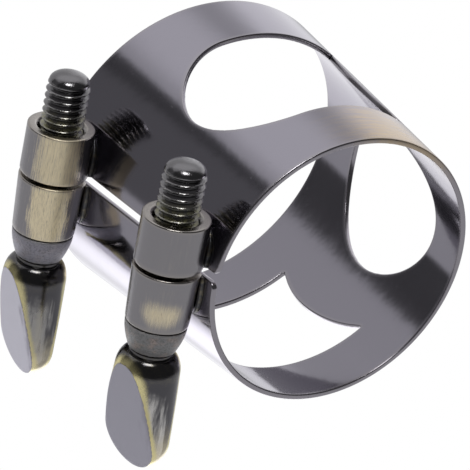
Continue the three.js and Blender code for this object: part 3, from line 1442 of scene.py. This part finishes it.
@dataclass
class ThumbHead:
    """A turned head with two leaning flats, worn along their edges."""

    end: End
    turn: float
    neck_radius: float = 2.0
    neck_length: float = 0.35
    shoulder_radius: float = 2.95
    shoulder_drop: float = 1.8
    pad_radius: float = 3.3
    foot_round: float = 3.0
    flat_top: float = 2.6
    flat_foot: float = -0.1
    back_top: float = 2.2
    back_foot: float = 1.4
    shank: float = 1.52
    socket: float = 3.0
    border: float = 0.16
    score_gap: float = 0.25
    flat_slack: float = 2e-3
    sides: int = 144

    def _profile(self) -> list[Point]:
        """Give the head's turned outline, from the foot up and down into the socket.

        Returns:
            The outline, as radius and height.
        """
        low, high = box_mm(f"{self.end.value}_thumb_head")
        neck = high.z - self.neck_length
        shoulder = neck - self.shoulder_drop
        path = []
        for step in range(25):
            angle = step / 24 * QUARTER
            rise = self.foot_round * (1 - math.cos(angle))
            path.append((self.pad_radius * math.sin(angle), low.z + rise, 0.0))
        path.append((self.shoulder_radius, shoulder, 0.6))
        for step in range(1, 9):
            angle = step / 8 * QUARTER
            bulge = (self.shoulder_radius - self.neck_radius) * math.cos(angle)
            height = shoulder + self.shoulder_drop * math.sin(angle)
            path.append((self.neck_radius + bulge, height, 0.0))
        path.append((self.neck_radius, high.z, 0.1))
        path.append((self.shank, high.z, 0.05))
        path.append((self.shank, high.z - self.socket, 0.05))
        path.append((0.0, high.z - self.socket, 0.0))
        return divided(rounded(path, 4), 0.25)

    def _on_flat(self, place: Vector, flat: tuple[Vector, Vector]) -> bool:
        """Say whether a point lies on a flat, given as a point of it and its normal."""
        return abs((place - flat[0]).dot(flat[1])) < self.flat_slack

    def _score(
        self, shape: Shape, flat: tuple[Vector, Vector], way: Vector, count: range
    ) -> None:
        """Divide a flat by evenly spaced planes, so that it carries its wear finely.

        Args:
            shape: The head.
            flat: A point of the flat at the head's foot, and the flat's normal.
            way: The planes' direction.
            count: Which planes, counted from the foot.
        """
        for step in count:
            faces = [
                face
                for face in shape.faces
                if face.normal.dot(flat[1]) > 0.999
                and self._on_flat(face.calc_center_median(), flat)
            ]
            edges = {edge for face in faces for edge in face.edges}
            verts = {vert for face in faces for vert in face.verts}
            bmesh.ops.bisect_plane(
                shape,
                geom=[*verts, *edges, *faces],
                dist=DOUBLES,
                plane_co=flat[0] + way * step * self.score_gap,
                plane_no=way,
            )

    def build(self) -> Shape:
        """Turn the head, cut its flats and soften their borders.

        Returns:
            The head.
        """
        low, high = box_mm(f"{self.end.value}_thumb_head")
        centre = Vector((*screw_axis(self.end), 0))
        shape = turned(self._profile(), (centre.x, centre.y), self.sides)
        shoulder = high.z - self.neck_length - self.shoulder_drop
        borders, flats = [], []
        for side, top, foot_depth in (
            (math.pi, self.flat_top, self.flat_foot),
            (0.0, self.back_top, self.back_foot),
        ):
            angle = math.radians(self.turn) + side
            lean = (top - foot_depth) / (shoulder - low.z)
            out = Vector((math.cos(angle), math.sin(angle), 0))
            normal = (out - Vector((0, 0, lean))).normalized()
            foot = centre + out * foot_depth + Vector((0, 0, low.z))
            made = bmesh.ops.bisect_plane(
                shape,
                geom=shape.verts[:] + shape.edges[:] + shape.faces[:],
                dist=DOUBLES,
                plane_co=foot,
                plane_no=normal,
                clear_outer=True,
            )["geom_cut"]
            loop = [item for item in made if isinstance(item, bmesh.types.BMEdge)]
            bmesh.ops.contextual_create(shape, geom=loop)
            borders += loop
            flats.append((foot, normal))
        rim = [vert.co.copy() for edge in borders for vert in edge.verts]
        bmesh.ops.bevel(
            shape,
            geom=borders,
            offset=self.border,
            segments=5,
            profile=0.5,
            affect="EDGES",
            material=-1,
            clamp_overlap=True,
        )
        turn = math.radians(self.turn)
        across = Vector((-math.sin(turn), math.cos(turn), 0))
        for flat in flats:
            self._score(shape, flat, across, range(-14, 15))
            self._score(shape, flat, Vector((0, 0, 1)), range(48))
        carry(shape, "face", lambda co: float(any(self._on_flat(co, flat) for flat in flats)))
        carry(shape, "rim", away_from(rim, 1.0))
        span = shoulder - low.z
        carry(shape, "low", lambda co: max(0.0, min(1.0, (shoulder - co.z) / span)))
        bmesh.ops.recalc_face_normals(shape, faces=shape.faces[:])
        return shape

    def dress(self, material: bpy.types.Material) -> None:
        """Finish the head and mount it.

        Args:
            material: Its finish.
        """
        node = f"{self.end.value}_thumb_head"
        piece = finished(self.build(), f"{self.end.value}_thumb_piece", material, 40)
        mount(piece, node, f"{self.end.value}_screw")


# ---- Studio ---------------------------------------------------------------------------
@dataclass(frozen=True)
class Card:
    """A patch of the room, seen only in what the metal mirrors.

    Angles are in degrees. Azimuth 0 lies behind the object, along +Y, and 90 lies along +X.
    A side at OPEN has no limit.
    """

    left: float
    right: float
    low: float
    high: float
    side_fade: float
    end_fade: float
    light: float


@dataclass
class Studio:
    """The floor, the room's light and the camera."""

    floor_height: float = -34.0  # low enough for both screws to be run out
    floor_size: float = 6000.0
    azimuth: float = -37.453
    elevation: float = 25.8
    roll: float = 11.441
    distance: float = 399.83
    lens: float = 337.64
    target: tuple[float, float, float] = (-2.53, 0.25, -2.76)
    room: float = 0.6
    key_way: tuple[float, float, float] = (-0.27, -0.35, 0.9)
    key_distance: float = 600.0
    key_size: Point = (230.0, 200.0)
    key_power: float = 1.1
    cards: tuple[Card, ...] = (
        Card(-34, 75, 44, OPEN, 12, 5, 0.92),
        Card(-OPEN, -72, -OPEN, OPEN, 8, 5, 0.07),
        Card(98, OPEN, -OPEN, OPEN, 12, 5, 0.07),
        Card(36, 92, -12, 30, 8, 10, 1.12),
        Card(-OPEN, OPEN, -OPEN, -14, 5, 2.5, 0.56),
        Card(-20, 75, -OPEN, -30, 8, 6, 1.2),
        Card(-12, 60, -OPEN, -45, 8, 4, 2.4),
        Card(-72, -33, -12.5, 40, 2.5, 2.5, 0.17),
        Card(-41, -33, -12.5, 40, 1.5, 2, 0.08),
    )

    def floor(self) -> None:
        """Lay the plain pale floor."""
        material, bench = new_bench("white_floor")
        glow = bench.node("ShaderNodeEmission", {}, {"Color": (1, 1, 1, 1), "Strength": 1.0})
        bench.node("ShaderNodeOutputMaterial", {}, {"Surface": glow})
        shape = bmesh.new()
        bmesh.ops.create_grid(shape, x_segments=1, y_segments=1, size=self.floor_size / 2)
        bmesh.ops.translate(shape, vec=(0, 0, self.floor_height), verts=shape.verts[:])
        ground = finished(shape, "studio_floor", material)
        ground.visible_glossy = False
        ground.visible_diffuse = False

    def room_light(self) -> None:
        """Light the room: pale below, grey above, with soft cards around."""
        world = bpy.data.worlds.new("studio")
        bpy.context.scene.world = world
        world.use_nodes = True
        bench = Bench(world.node_tree)
        way = bench.node("ShaderNodeTexCoord", {}, {}, Pattern.DIRECTION.value)
        across, along, upward = (
            bench.node("ShaderNodeSeparateXYZ", {}, {0: way}, output) for output in range(3)
        )
        azimuth = bench.node("ShaderNodeMath", {"operation": "ARCTAN2"}, {0: across, 1: along})
        azimuth = azimuth * (360 / TURN)
        height = bench.node("ShaderNodeMath", {"operation": "ARCSINE"}, {0: upward}) * (360 / TURN)
        light: Any = self.room
        for card in self.cards:
            share: Any = 1.0
            for place, low, high, fade in (
                (azimuth, card.left, card.right, card.side_fade),
                (height, card.low, card.high, card.end_fade),
            ):
                if low > -OPEN:
                    share = place.step(low - fade, low + fade) * share
                if high < OPEN:
                    share = place.step(high + fade, high - fade) * share
            light = (1 - share) * light + share * card.light
        colour = bench.node("ShaderNodeCombineXYZ", {}, {0: light, 1: light, 2: light * 1.03})
        glow = bench.node("ShaderNodeBackground", {}, {"Color": colour, "Strength": 1.0})
        bench.node("ShaderNodeOutputWorld", {}, {"Surface": glow})

    def key_light(self) -> None:
        """Hang the softbox."""
        data = bpy.data.lights.new("key_box", "AREA")
        data.shape = "RECTANGLE"
        data.size, data.size_y = (side * MM for side in self.key_size)
        data.energy = self.key_power
        lamp = bpy.data.objects.new("key_box", data)
        bpy.context.scene.collection.objects.link(lamp)
        way = Vector(self.key_way).normalized()
        lamp.location = way * self.key_distance * MM
        lamp.rotation_euler = way.to_track_quat("Z", "Y").to_euler()

    def camera(self) -> None:
        """Set up the camera."""
        turn, lift = math.radians(self.azimuth), math.radians(self.elevation)
        tilt = math.radians(self.roll)
        back = Vector(
            (math.sin(turn) * math.cos(lift), -math.cos(turn) * math.cos(lift), math.sin(lift))
        )
        level = Vector((math.cos(turn), math.sin(turn), 0))
        upward = back.cross(level)
        right = level * math.cos(tilt) + upward * math.sin(tilt)
        top = back.cross(right)
        data = bpy.data.cameras.new("camera")
        data.lens = self.lens
        data.sensor_width = 36.0
        data.clip_start = 0.01
        data.clip_end = 10.0
        camera = bpy.data.objects.new("camera", data)
        bpy.context.scene.collection.objects.link(camera)
        frame_axes = Matrix((right, top, back)).transposed().to_4x4()
        place = (Vector(self.target) + back * self.distance) * MM
        camera.matrix_world = Matrix.Translation(place) @ frame_axes
        bpy.context.scene.camera = camera

    def build(self) -> None:
        """Set up the whole studio."""
        self.floor()
        self.room_light()
        self.key_light()
        self.camera()
        bpy.context.scene.view_settings.view_transform = "Standard"


# ---- Assembly -------------------------------------------------------------------------
@dataclass
class Station:
    """The posts, braze, collar and screw at one end of the seam.

    The wear of the posts, the painted highlight on the lower post, the wear of the head's edges,
    the brass of the head's lower end with the painted reflection on its middle, and the collar's
    brown stain, all run from 0 to 1.
    """

    end: End
    head_turn: float
    wear: float
    # patch is the strength of the painted highlight on the lower post
    patch: float
    collar_tone: Colour
    collar_warmth: float
    head_wear: float
    # head_low sets the brass on the head's lower end and the painted reflection on its middle
    head_low: float
    # the height of the painted highlight on the lower post
    highlight_height: float = -3.0
    rub_height: float = 2.6  # the thread's brass reaches this far above the upper post

    def build(self, braze: bpy.types.Material) -> None:
        """Build and mount every piece at this end.

        Args:
            braze: The braze's finish.
        """
        name = self.end.value
        axis = screw_axis(self.end)
        upper = PostFinish(f"{name}_upper_brass", axis, self.wear)
        # the lower post carries the painted highlight
        lower = PostFinish(
            f"{name}_lower_brass", axis, self.wear, self.highlight_height, self.patch
        )
        Post(self.end, "upper").dress(upper.material())
        Post(self.end, "lower", foot_radius=2.85, countersink=0.05).dress(lower.material())
        for level in ("upper", "lower"):
            Braze(self.end, level).dress(braze)
        tone = CollarFinish(f"{name}_blasted", self.collar_tone, self.collar_warmth)
        Collar(self.end).dress(tone.material())
        rub_top = box_mm(f"{name}_upper_post")[1].z + self.rub_height
        Rod(self.end).dress(RodFinish(f"{name}_thread", rub_top).material())
        head = HeadFinish(f"{name}_head", axis, self.head_wear, self.head_low)
        ThumbHead(self.end, self.head_turn).dress(head.material())


def main() -> None:
    """Build the ligature and its studio."""
    Band().dress()
    braze = BrazeFinish().material()
    Station(
        End.FRONT,
        head_turn=9.0,
        wear=0.12,
        # patch sets the painted highlight on the lower post
        patch=0.75,
        collar_tone=grey(0.3),
        collar_warmth=0.8,
        head_wear=1.0,
        head_low=0.95,
    ).build(braze)
    Station(
        End.REAR,
        head_turn=-4.0,
        wear=1.0,
        # patch sets the painted highlight on the lower post
        patch=0.2,
        collar_tone=(0.38, 0.37, 0.42, 1.0),
        collar_warmth=0.2,
        head_wear=0.75,
        head_low=0.5,
    ).build(braze)
    Studio().build()
    LOG.info("all pieces are mounted")


if __name__ == "__main__":
    main()
